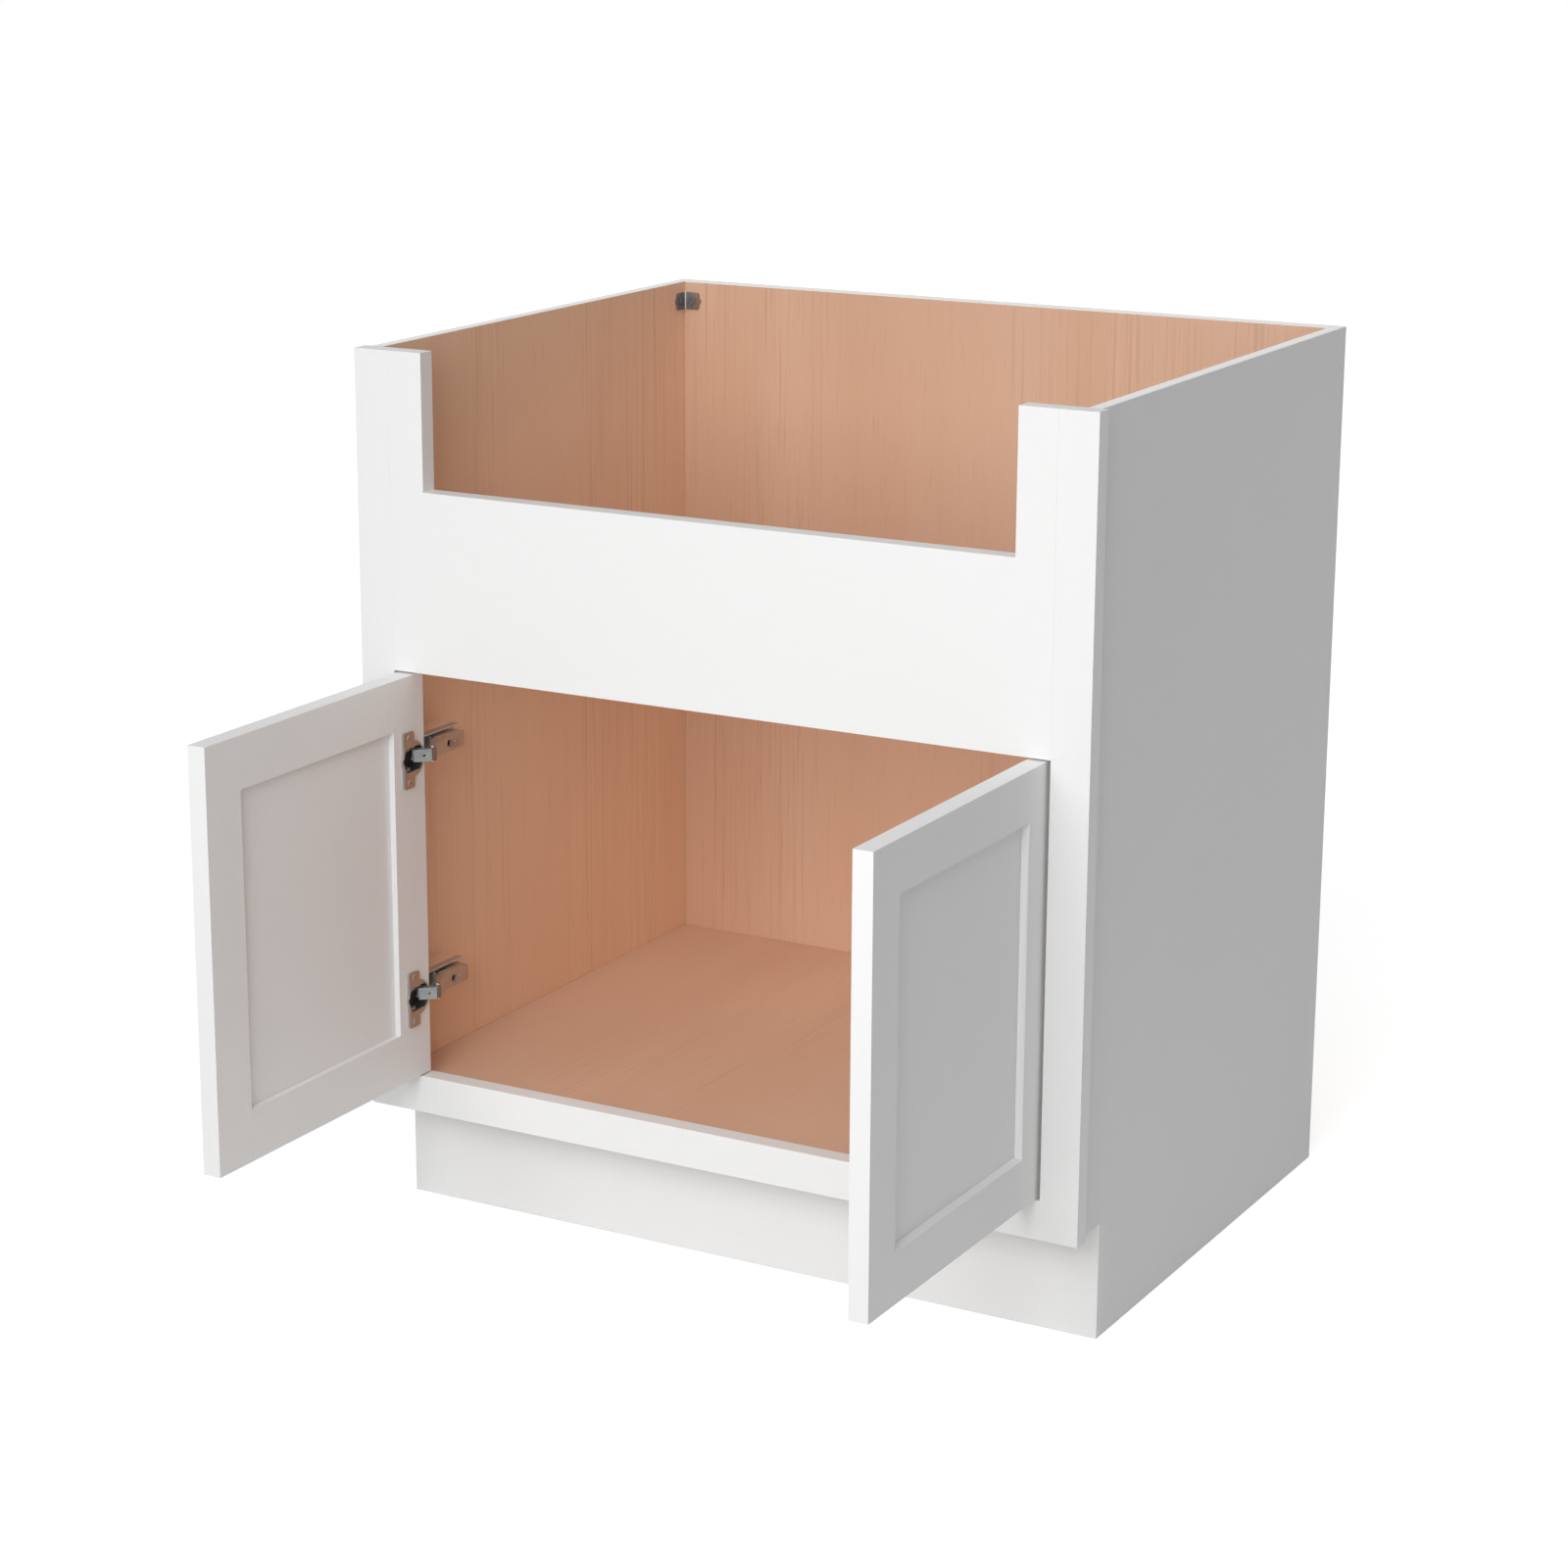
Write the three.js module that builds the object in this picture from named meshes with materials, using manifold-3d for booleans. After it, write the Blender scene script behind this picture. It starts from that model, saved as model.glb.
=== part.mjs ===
// Sink base cabinet with a face frame, a cut-away apron for a front-fitting sink and two inset
// shaker doors on concealed cup hinges. The doors stand open at 90 degrees.
// Millimetres, Z up. The origin is on the floor, at the wall, half way along the cabinet:
// the cabinet runs towards -Y, and the front of its face frame is at y = -cabinetDepth.
import * as THREE from "three";
import { mergeVertices } from "three/addons/utils/BufferGeometryUtils.js";
import Module from "manifold-3d";

const wasm = await Module();
wasm.setup();

// Carcass
const cabinetWidth = 774.7;
const cabinetHeight = 876.3;
const cabinetDepth = 609.6;
const sideThickness = 12.7;
const backThickness = 19.05;
const floorThickness = 12.7;
const floorLip = 6.35; // the floor panel lies this far below the top of the bottom rail
const dadoDepth = 6.35;
const toeHeight = 114.3;
const toeNotchDepth = 76.2;
const toeBoardThickness = 12.7;

// Face frame
const frameThickness = 19.05;
const frameOverhang = 6.35;
const stileWidth = 38.1;
const bottomRailHeight = 38.1;
const doorOpeningHeight = 412.75;
const notchPostWidth = 76.2; // solid width left beside the cut-out, stile included
const notchDepth = 133.35;

// Corner brackets in the two back corners
const bracketDrop = 11.4;
const bracketHeight = 18.4;
const bracketBackLeg = 20.6;
const bracketSideLeg = 20;
const bracketBend = 2.6; // reach of the thick bend along either leg
const bracketLobe = 1.9; // how far the middle of a leg's end stands out
const bracketThickness = 1.6;
const bracketHoleRadius = 1.9;
const bracketScrewHead = 3.4;

// Doors
const doorThickness = 19.05;
const doorSideGap = 3.5; // beside each hinge stile and between the two doors
const doorEndGap = 1.6; // above and below a door
const doorEdgeSetIn = 15; // hinge-side edge of the open door, behind the front of the frame
const doorMemberWidth = 50.8;
const doorPanelThickness = 6.35;
const grooveDepth = 9.5;
const doorFaceSplay = 3; // slope of the frame's inner edges, on the outer face of the door
const grooveClearance = 0.15;
const panelEndClearance = 0.8;

// Hinges
const hingeInset = 84.5; // hinge centre to the end of the door opening
const cupRadius = 17.5;
const cupDepth = 13;
const cupWall = 0.8;
const cupEdgeDistance = 21; // cup centre to the edge of the door
const cupRimWidth = 0.7;
const cupRimThickness = 1.5;
const cupMouthHalfHeight = 12; // the mouth is narrower than the bore below it
const cupAxleRadius = 1.4;
const cupAxleLength = 26;
const cupAxleDepth = 5.5; // below the inner face of the door
const cupAxleOffset = 10; // from the cup's centre, away from the hinge edge
const springRadius = 2.4;
const springWire = 0.9;
const springTurns = 8;
const springLength = 13;
const springLeg = 3;
const flangeThickness = 2.5;
const flangeCorner = 2.5;
const flangeWidth = 17.8;
const flangeHeight = 56.5;
const flangeOffset = 7.6; // the screw wings lie this far towards the middle of the door
const flangeScrewSpacing = 45;
const flangeScrewRadius = 2.1;
const linkWall = 1.2;
const linkHeight = 12.4;
const linkSlotWidth = 13.6;
const linkHoleRadius = 1.3;
const linkHoleDistance = 11; // from the end of the face that lies in the cup
const linkEyeRadius = 3;
const linkTipRadius = 1.6;
const linkTipPinRadius = 1.1;
const linkTipPinLength = 13.2;
const armPinRadius = 1.6;
const armWall = 1.2;
const armNoseRadius = 3.3;
const armNoseWidth = 15.4;
const armBodyWidth = 16.6;
const armBodyLength = 39;
const armNeckLength = 28.5;
const armFaceDrop = 2.6; // the arm's face lies this far below the inner face of the open door
const armFlangeHeight = 13;
const armScrewRadius = 3.3;
const armScrewHead = 1.6;
const armScrewSetback = 13;
const camStudRadius = 1.3;
const camStudSetback = 23.5;
const plateThickness = 2;
const plateWidth = 22.8;
const plateEdgeHeight = 8;
const plateEdgeWall = 1;
const plateMargin = 9;
const plateRibWidth = 13.4;
const packerMargin = 1.5;
const screwHeadRadius = 3.3;
const screwHeadHeight = 1.5;

const seat = 0.1; // gap left where one fitted piece bears on another
const running = 0.3; // gap left where pieces move past each other

// Derived places
const sideOuter = cabinetWidth / 2 - frameOverhang;
const sideInner = sideOuter - sideThickness;
const frameFront = -cabinetDepth;
const frameBack = frameFront + frameThickness;
const backFront = -backThickness;
const openingHalf = cabinetWidth / 2 - stileWidth;
const railTop = toeHeight + bottomRailHeight;
const openingTop = railTop + doorOpeningHeight;
const floorTop = railTop - floorLip;
const floorUnder = floorTop - floorThickness;
const notchWidth = cabinetWidth - 2 * notchPostWidth;
const notchFloor = cabinetHeight - notchDepth;

// The door and hinge pieces of one side share a plan: u runs from the edge of the door opening
// towards the middle of the cabinet, v from the front of the frame towards the wall.
const doorOuterU = doorSideGap;
const doorInnerU = doorOuterU + doorThickness;
const doorHingeV = doorEdgeSetIn;
const doorWidth = openingHalf - 1.5 * doorSideGap;
const doorFreeV = doorHingeV - doorWidth;
const doorBottom = railTop + doorEndGap;
const doorTop = openingTop - doorEndGap;
const doorMiddleU = (doorOuterU + doorInnerU) / 2;
const grooveHalf = doorPanelThickness / 2 + grooveClearance;
const sideU = -(sideInner - openingHalf);
const cupV = doorHingeV - cupEdgeDistance;
const hingeHeights = { upper: openingTop - hingeInset, lower: railTop + hingeInset };

// Hinge plan, measured from the corner where the open door's inner face meets its hinge edge.
const fromDoorCorner = (u, v) => new THREE.Vector2(doorInnerU + u, doorHingeV + v);
const linkTip = fromDoorCorner(-5.45, -7.5);
const linkFaceStart = fromDoorCorner(-4.05, -12.63);
const linkFaceEnd = fromDoorCorner(9.65, -0.4);
const linkEye = fromDoorCorner(5.65, 6.55);
const cupAxle = new THREE.Vector2(doorInnerU - cupAxleDepth, cupV - cupAxleOffset);
const armFaceU = doorInnerU - armFaceDrop;
const armNeckV = linkEye.y + armNeckLength;
const armRearV = armNeckV + armBodyLength;

const white = new THREE.MeshStandardMaterial({ color: 0xf0f0ee, roughness: 0.45 });
const veneer = new THREE.MeshStandardMaterial({ color: 0xc69672, roughness: 0.5 });
const nickel = new THREE.MeshStandardMaterial({ color: 0xa9a8a4, roughness: 0.3, metalness: 0.9 });
const darkSteel = new THREE.MeshStandardMaterial({ color: 0x5a5855, roughness: 0.4, metalness: 0.8 });

// A closed box between two opposite corners.
function block(low, high) {
  const box = new THREE.BoxGeometry(1, 1, 1);
  const corner = box.attributes.position;
  for (let i = 0; i < corner.count; i++)
    corner.setXYZ(
      i,
      corner.getX(i) < 0 ? low[0] : high[0],
      corner.getY(i) < 0 ? low[1] : high[1],
      corner.getZ(i) < 0 ? low[2] : high[2],
    );
  return box;
}

// An outline drawn in plan and raised from one height to another.
function raised(shape, bottom, top, curveSegments = 8) {
  const depth = top - bottom;
  const prism = new THREE.ExtrudeGeometry(shape, { depth, bevelEnabled: false, curveSegments });
  return prism.translate(0, 0, bottom);
}

// Turns a prism made along Z so that its outline lies in (y, z) and its length along X.
function alongX(geometry) {
  const turn = new THREE.Matrix4().makeBasis(
    new THREE.Vector3(0, 1, 0),
    new THREE.Vector3(0, 0, 1),
    new THREE.Vector3(1, 0, 0),
  );
  return geometry.applyMatrix4(turn);
}

// Turns a prism made along Z so that its outline lies in (x, z) and its length along -Y.
function alongY(geometry) {
  return geometry.rotateX(Math.PI / 2);
}

function outline(points) {
  return new THREE.Shape(points.map(([x, y]) => new THREE.Vector2(x, y)));
}

function disc(radius, x = 0, y = 0) {
  return new THREE.Shape().absarc(x, y, radius, 0, 2 * Math.PI);
}

// A round bar along Z.
function bar(radius, x, y, bottom, top, sides = 24) {
  const length = top - bottom;
  const rod = new THREE.CylinderGeometry(radius, radius, length, sides).rotateX(Math.PI / 2);
  return rod.translate(x, y, (bottom + top) / 2);
}

// Outline of a strip of sheet metal bent along a run of points.
function bentStrip(points, halfThickness) {
  const normals = points.slice(1).map((p, i) => {
    const run = p.clone().sub(points[i]).normalize();
    return new THREE.Vector2(-run.y, run.x);
  });
  const edge = (sign) =>
    points.map((p, i) => {
      const before = normals[Math.max(i - 1, 0)];
      const after = normals[Math.min(i, normals.length - 1)];
      const mitre = before.clone().add(after).normalize();
      return p.clone().addScaledVector(mitre, (sign * halfThickness) / mitre.dot(after));
    });
  return new THREE.Shape([...edge(1), ...edge(-1).reverse()]);
}

function solid(geometry) {
  const bare = geometry.clone();
  bare.deleteAttribute("normal");
  bare.deleteAttribute("uv");
  const merged = mergeVertices(bare, 1e-4);
  return new wasm.Manifold(
    new wasm.Mesh({
      numProp: 3,
      vertProperties: merged.attributes.position.array,
      triVerts: new Uint32Array(merged.index.array),
    }),
  );
}

function surface(manifold) {
  const mesh = manifold.getMesh();
  return new THREE.BufferGeometry()
    .setAttribute("position", new THREE.BufferAttribute(mesh.vertProperties, 3))
    .setIndex(new THREE.BufferAttribute(mesh.triVerts, 1));
}

const joined = (...parts) => surface(parts.map(solid).reduce((a, b) => a.add(b)));
const cutBy = (body, ...tools) =>
  surface(tools.map(solid).reduce((rest, tool) => rest.subtract(tool), solid(body)));

function place(parent, name, geometry, material) {
  const piece = new THREE.Mesh(geometry, material);
  piece.name = name;
  parent.add(piece);
}

// Side panel: full height, notched for the toe space, with a dado for the floor panel.
function sidePanel() {
  const notchBack = frameFront + toeNotchDepth;
  const profile = outline([
    [notchBack, 0],
    [0, 0],
    [0, cabinetHeight],
    [frameBack, cabinetHeight],
    [frameBack, toeHeight],
    [notchBack, toeHeight],
  ]);
  const panel = alongX(raised(profile, -sideOuter, -sideInner));
  const dado = block(
    [-sideInner - dadoDepth, frameBack - 1, floorUnder - seat],
    [-sideInner + 1, backFront, floorTop + seat],
  );
  return cutBy(panel, dado);
}

function backPanel() {
  return block([-sideInner + seat, backFront, 0], [sideInner - seat, 0, cabinetHeight]);
}

function floorPanel() {
  const reach = sideInner + dadoDepth - seat;
  return block(
    [-reach, frameBack + seat, floorUnder],
    [reach, backFront - seat, floorTop],
  );
}

function toeBoard() {
  const back = frameFront + toeNotchDepth - seat;
  return block(
    [-sideOuter, back - toeBoardThickness, 0],
    [sideOuter, back, toeHeight - seat],
  );
}

function stile() {
  return block(
    [-cabinetWidth / 2, frameFront, toeHeight],
    [-openingHalf - seat / 2, frameBack - seat, cabinetHeight],
  );
}

function bottomRail() {
  return block(
    [-openingHalf, frameFront, toeHeight],
    [openingHalf, frameBack - seat, railTop],
  );
}

// Apron above the doors, cut down in the middle for the front of the sink.
function apron() {
  const halfNotch = notchWidth / 2;
  const profile = outline([
    [-openingHalf, openingTop],
    [openingHalf, openingTop],
    [openingHalf, cabinetHeight],
    [halfNotch, cabinetHeight],
    [halfNotch, notchFloor],
    [-halfNotch, notchFloor],
    [-halfNotch, cabinetHeight],
    [-openingHalf, cabinetHeight],
  ]);
  return alongY(raised(profile, seat - frameBack, -frameFront));
}

// Bracket leg: a strip with a screw hole and an end in three lobes.
function bracketLeg(length) {
  const half = bracketHeight / 2;
  const round = half / 3;
  const shoulder = length - bracketLobe;
  const middle = half * 0.36;
  const leg = new THREE.Shape();
  leg.moveTo(0, 0);
  leg.lineTo(0, -half);
  leg.absarc(shoulder - round, round - half, round, -Math.PI / 2, 0);
  leg.lineTo(shoulder, -middle - 1);
  leg.lineTo(shoulder - 1, -middle);
  leg.absarc(length - round, round - middle, round, -Math.PI / 2, 0);
  leg.absarc(length - round, middle - round, round, 0, Math.PI / 2);
  leg.lineTo(shoulder - 1, middle);
  leg.lineTo(shoulder, middle + 1);
  leg.absarc(shoulder - round, half - round, round, 0, Math.PI / 2);
  leg.lineTo(0, half);
  leg.closePath();
  leg.holes.push(new THREE.Path().absarc(length / 2, 0, bracketHoleRadius, 0, 2 * Math.PI, true));
  return leg;
}

// Angle bracket in the left back corner, just below the top, drawn about its own corner.
function cornerBracket() {
  const onBack = alongY(raised(bracketLeg(bracketBackLeg), 0, bracketThickness, 6));
  const onSide = alongX(raised(bracketLeg(bracketSideLeg), 0, bracketThickness, 6));
  const bend = outline([
    [0, 0],
    [0, -bracketThickness - bracketBend],
    [bracketThickness, -bracketThickness - bracketBend],
    [bracketThickness + bracketBend, -bracketThickness],
    [bracketThickness + bracketBend, 0],
  ]);
  const fold = raised(bend, -bracketHeight / 2, bracketHeight / 2);
  return joined(onBack, onSide.rotateX(Math.PI), fold);
}

// Pan-head screw standing on z = 0: head above, shank below, cross recess in the head.
function screw(headRadius, headHeight, shankRadius, shankLength) {
  const head = bar(headRadius, 0, 0, 0, headHeight, 20);
  const shank = bar(shankRadius, 0, 0, -shankLength, headHeight / 4, 14);
  const slot = headRadius * 0.2;
  const reach = headRadius * 0.62;
  const floor = headHeight * 0.4;
  const across = block([-reach, -slot, floor], [reach, slot, headHeight + 1]);
  const along = block([-slot, -reach, floor], [slot, reach, headHeight + 1]);
  return cutBy(joined(head, shank), joined(across, along));
}

// Bracket and its two screws in one back corner. The group is mirrored for the right corner.
function bracketCorner(side) {
  const corner = new THREE.Group();
  corner.position.set(-sideInner + seat, backFront - seat, 0);
  corner.position.z = cabinetHeight - bracketDrop - bracketHeight / 2;
  place(corner, `${side}_bracket`, cornerBracket(), darkSteel);
  const length = bracketThickness;
  const make = () => screw(bracketScrewHead, 1.2, bracketHoleRadius - seat, length);
  const onBack = make().rotateX(Math.PI / 2);
  onBack.translate(bracketBackLeg / 2, -bracketThickness - seat / 2, 0);
  place(corner, `${side}_bracket_back_screw`, onBack, darkSteel);
  const onSide = make().rotateY(Math.PI / 2);
  onSide.translate(bracketThickness + seat / 2, -bracketSideLeg / 2, 0);
  place(corner, `${side}_bracket_side_screw`, onSide, darkSteel);
  return corner;
}

// Groove along the edge of a door member, for the panel and the tenons.
function groove(lowV, highV, lowZ, highZ) {
  return block([doorMiddleU - grooveHalf, lowV, lowZ], [doorMiddleU + grooveHalf, highV, highZ]);
}

// Room in front of the panel on the outer face, between sloping edges mitred at the corners.
function faceRecess() {
  const deep = doorMiddleU - doorPanelThickness / 2;
  const box = block(
    [doorOuterU - deep, doorFreeV + doorMemberWidth, doorBottom + doorMemberWidth],
    [deep, doorHingeV - doorMemberWidth, doorTop - doorMemberWidth],
  );
  const corner = box.attributes.position;
  const middleV = (doorFreeV + doorHingeV) / 2;
  const middleZ = (doorBottom + doorTop) / 2;
  const reach = doorFaceSplay * ((2 * deep - doorOuterU) / (deep - doorOuterU));
  for (let i = 0; i < corner.count; i++)
    if (corner.getX(i) < doorOuterU) {
      corner.setY(i, corner.getY(i) + Math.sign(corner.getY(i) - middleV) * reach);
      corner.setZ(i, corner.getZ(i) + Math.sign(corner.getZ(i) - middleZ) * reach);
    }
  return box;
}

function hingeStile() {
  const edge = doorHingeV - doorMemberWidth;
  const body = block([doorOuterU, edge, doorBottom], [doorInnerU, doorHingeV, doorTop]);
  const slot = groove(edge - 1, edge + grooveDepth, doorBottom - 1, doorTop + 1);
  const borings = Object.values(hingeHeights).map((height) =>
    cupBarrel(cupRadius, doorInnerU - cupDepth - seat, doorInnerU + 1).translate(0, 0, height),
  );
  return cutBy(body, slot, faceRecess(), ...borings);
}

function freeStile() {
  const edge = doorFreeV + doorMemberWidth;
  const body = block([doorOuterU, doorFreeV, doorBottom], [doorInnerU, edge, doorTop]);
  const slot = groove(edge - grooveDepth, edge + 1, doorBottom - 1, doorTop + 1);
  return cutBy(body, slot, faceRecess());
}

// Rail between the stiles, with a tenon at each end and a groove along its inner edge.
function doorRail(lowZ, highZ, grooveLowZ, grooveHighZ) {
  const lowV = doorFreeV + doorMemberWidth + seat;
  const highV = doorHingeV - doorMemberWidth - seat;
  const reach = grooveDepth - panelEndClearance;
  const half = doorPanelThickness / 2;
  const body = block([doorOuterU, lowV, lowZ], [doorInnerU, highV, highZ]);
  const tenons = block(
    [doorMiddleU - half, lowV - reach, lowZ],
    [doorMiddleU + half, highV + reach, highZ],
  );
  const slot = groove(lowV - grooveDepth - 1, highV + grooveDepth + 1, grooveLowZ, grooveHighZ);
  return cutBy(joined(body, tenons), slot, faceRecess());
}

function doorPanel() {
  const inset = doorMemberWidth - grooveDepth + panelEndClearance;
  const half = doorPanelThickness / 2;
  return block(
    [doorMiddleU - half, doorFreeV + inset, doorBottom + inset],
    [doorMiddleU + half, doorHingeV - inset, doorTop - inset],
  );
}

function addDoor(group, side) {
  const lowRailTop = doorBottom + doorMemberWidth;
  const topRailLow = doorTop - doorMemberWidth;
  const lowRail = doorRail(doorBottom, lowRailTop, lowRailTop - grooveDepth, lowRailTop + 1);
  const topRail = doorRail(topRailLow, doorTop, topRailLow - 1, topRailLow + grooveDepth);
  place(group, `${side}_door_hinge_stile`, hingeStile(), white);
  place(group, `${side}_door_free_stile`, freeStile(), white);
  place(group, `${side}_door_top_rail`, topRail, white);
  place(group, `${side}_door_bottom_rail`, lowRail, white);
  place(group, `${side}_door_panel`, doorPanel(), white);
}

// A round bar along u, centred on the cup.
function cupBarrel(radius, lowU, highU) {
  return bar(radius, 0, 0, lowU, highU, 48).rotateY(Math.PI / 2).translate(0, cupV, 0);
}

// Cup with its rim and screw wings. The wall on the hinge side is open for the link.
function hingeCup() {
  const bottom = doorInnerU - cupDepth;
  const wingsV = cupV - flangeOffset;
  const rim = doorInnerU + seat;
  const wings = new THREE.Shape();
  const round = flangeCorner;
  const halfV = flangeWidth / 2;
  const halfZ = flangeHeight / 2;
  wings.absarc(halfV - round, halfZ - round, round, 0, Math.PI / 2);
  wings.absarc(round - halfV, halfZ - round, round, Math.PI / 2, Math.PI);
  wings.absarc(round - halfV, round - halfZ, round, Math.PI, 1.5 * Math.PI);
  wings.absarc(halfV - round, round - halfZ, round, 1.5 * Math.PI, 2 * Math.PI);
  wings.closePath();
  for (const sign of [-1, 1]) {
    const hole = new THREE.Path();
    hole.absarc(0, (sign * flangeScrewSpacing) / 2, flangeScrewRadius, 0, 2 * Math.PI, true);
    wings.holes.push(hole);
  }
  const flange = alongX(raised(wings, rim, rim + flangeThickness, 6)).translate(0, wingsV, 0);
  const lip = cupBarrel(cupRadius + cupRimWidth, rim, rim + cupRimThickness);
  const barrel = cupBarrel(cupRadius - seat, bottom, rim + cupRimThickness / 2);
  const hollow = cupBarrel(cupRadius - cupWall, bottom + cupWall, rim - cupWall);
  const opening = new THREE.Shape();
  const corner = Math.asin(cupMouthHalfHeight / (cupRadius - cupWall));
  opening.absarc(0, 0, cupRadius - cupWall, -corner, corner);
  opening.absarc(0, 0, cupRadius - cupWall, Math.PI - corner, Math.PI + corner);
  opening.closePath();
  const mouth = alongX(raised(opening, rim - 2, rim + flangeThickness + 1, 12));
  mouth.translate(0, cupV, 0);
  const half = linkSlotWidth / 2;
  const slot = block([bottom + cupWall, cupV, -half], [doorInnerU + 5, doorHingeV + 5, half]);
  const shell = cutBy(joined(flange, lip, barrel), hollow, mouth, slot);
  const reach = cupAxleLength / 2;
  return joined(shell, bar(cupAxleRadius, cupAxle.x, cupAxle.y, -reach, reach, 16));
}

// Closing spring: a coil on the axle in the cup, its two ends bent out as short legs.
function hingeSpring() {
  const path = [];
  const steps = springTurns * 10;
  const start = -springLength / 2;
  path.push(new THREE.Vector3(cupAxle.x + springRadius, cupAxle.y - springLeg, start));
  for (let i = 0; i <= steps; i++) {
    const turn = (i / 10) * 2 * Math.PI;
    const x = cupAxle.x + springRadius * Math.cos(turn);
    const y = cupAxle.y + springRadius * Math.sin(turn);
    path.push(new THREE.Vector3(x, y, start + (springLength * i) / steps));
  }
  path.push(new THREE.Vector3(cupAxle.x + springRadius, cupAxle.y + springLeg, -start));
  const wire = new THREE.Shape();
  wire.absarc(0, 0, springWire / 2, 0, 2 * Math.PI);
  const extrudePath = new THREE.CatmullRomCurve3(path, false, "centripetal");
  return new THREE.ExtrudeGeometry(wire, { steps: steps + 4, curveSegments: 3, extrudePath });
}

// Outer link: a channel with a flat face, whose two cheeks reach back round the edge of the
// door to the pin of the arm and to a rivet in the cup.
function hingeLink() {
  const half = linkHeight / 2;
  const run = linkFaceEnd.clone().sub(linkFaceStart).normalize();
  const inward = new THREE.Vector2(-run.y, run.x);
  const at = (point, x, y) => [point.x + x, point.y + y];
  const cheek = raised(
    outline([
      at(linkFaceStart, 0, 0),
      at(linkFaceEnd, 0, 0),
      at(linkEye, linkEyeRadius, 0),
      at(linkEye, -linkEyeRadius, 0),
      at(linkEye, -linkEyeRadius - 0.9, -6.5),
      at(linkEye, -linkEyeRadius - 0.9, -10.5),
      at(linkTip, 5.7, 0.1),
      at(linkTip, 0, linkTipRadius),
      at(linkTip, -linkTipRadius, 0),
      at(linkFaceStart, -1.5, 1.5),
    ]),
    -half,
    half,
  );
  const eye = bar(linkEyeRadius, linkEye.x, linkEye.y, -half, half);
  const inner = linkFaceStart.clone().addScaledVector(inward, linkWall);
  const innerEnd = linkFaceEnd.clone().addScaledVector(inward, linkWall);
  innerEnd.addScaledVector(run, -linkWall);
  const channel = raised(
    outline([
      at(inner, -4 * run.x, -4 * run.y),
      at(innerEnd, 0, 0),
      at(linkEye, linkEyeRadius - linkWall, 0),
      at(linkEye, linkEyeRadius - linkWall, 6),
      at(linkEye, -20, 6),
    ]),
    linkWall - half,
    half - linkWall,
  );
  const reach = linkTipPinLength / 2;
  const rivet = bar(linkTipPinRadius, linkTip.x, linkTip.y, -reach, reach, 16);
  const bore = bar(armPinRadius + running / 2, linkEye.x, linkEye.y, -half - 1, half + 1);
  const mark = linkFaceStart.clone().addScaledVector(run, linkHoleDistance);
  const hole = bar(linkHoleRadius, 0, 0, -linkWall * 2, linkWall * 2, 16);
  hole.rotateY(Math.PI / 2).rotateZ(run.angle() - Math.PI / 2).translate(mark.x, mark.y, 0);
  return joined(cutBy(joined(cheek, eye), channel, bore, hole), rivet);
}

// Rivet through the nose of the arm and the eye of the link.
function armPin() {
  const half = armNoseWidth / 2 + 0.4;
  return bar(armPinRadius, linkEye.x, linkEye.y, -half, half);
}

// Arm: a channel over the mounting plate, with a narrower neck that rises to two ears.
function hingeArm() {
  const low = armFaceU - armFlangeHeight;
  const web = armFaceU - armWall;
  const halfBody = armBodyWidth / 2;
  const halfNose = armNoseWidth / 2;
  const corner = 2.5;
  const bodyShape = outline([
    [armNeckV, -halfNose],
    [armNeckV + corner, -halfBody],
    [armRearV - corner, -halfBody],
    [armRearV, -halfBody + corner],
    [armRearV, halfBody - corner],
    [armRearV - corner, halfBody],
    [armNeckV + corner, halfBody],
    [armNeckV, halfNose],
  ]);
  const body = alongX(raised(bodyShape, low, armFaceU));
  const bodyHollow = block(
    [low - 1, armNeckV - 1, armWall - halfBody],
    [web, armRearV + 1, halfBody - armWall],
  );
  const neckSide = outline([
    [linkEye.x + armNoseRadius * 0.6, linkEye.y + armNoseRadius * 0.8],
    [armFaceU, armNeckV],
    [armFaceU, armNeckV + 1],
    [low, armNeckV + 1],
    [low + 3, armNeckV - 4],
    [linkEye.x - armNoseRadius * 0.9, linkEye.y + 1],
    [linkEye.x, linkEye.y],
  ]);
  const neck = raised(neckSide, -halfNose, halfNose);
  const nose = bar(armNoseRadius, linkEye.x, linkEye.y, -halfNose, halfNose);
  const neckHollow = outline([
    [linkEye.x + 10, linkEye.y - 10],
    [linkEye.x + 10, linkEye.y + linkEyeRadius + 1],
    [linkEye.x + 1, linkEye.y + linkEyeRadius + 1],
    [web, armNeckV - 0.5],
    [web, armNeckV + 2],
    [low - 1, armNeckV + 2],
    [low - 1, linkEye.y - 10],
  ]);
  const inside = halfNose - armWall;
  const screwHole = bar(armScrewRadius + 0.5, 0, 0, web - 1, armFaceU + 1);
  const camHole = bar(camStudRadius + 0.2, 0, 0, web - 1, armFaceU + 1, 16);
  return cutBy(
    joined(cutBy(body, bodyHollow), neck, nose),
    raised(neckHollow, -inside, inside),
    bar(armPinRadius + 0.05, linkEye.x, linkEye.y, -halfNose - 1, halfNose + 1),
    screwHole.rotateY(Math.PI / 2).translate(0, armNeckV + armScrewSetback, 0),
    camHole.rotateY(Math.PI / 2).translate(0, armNeckV + camStudSetback, 0),
  );
}

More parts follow.
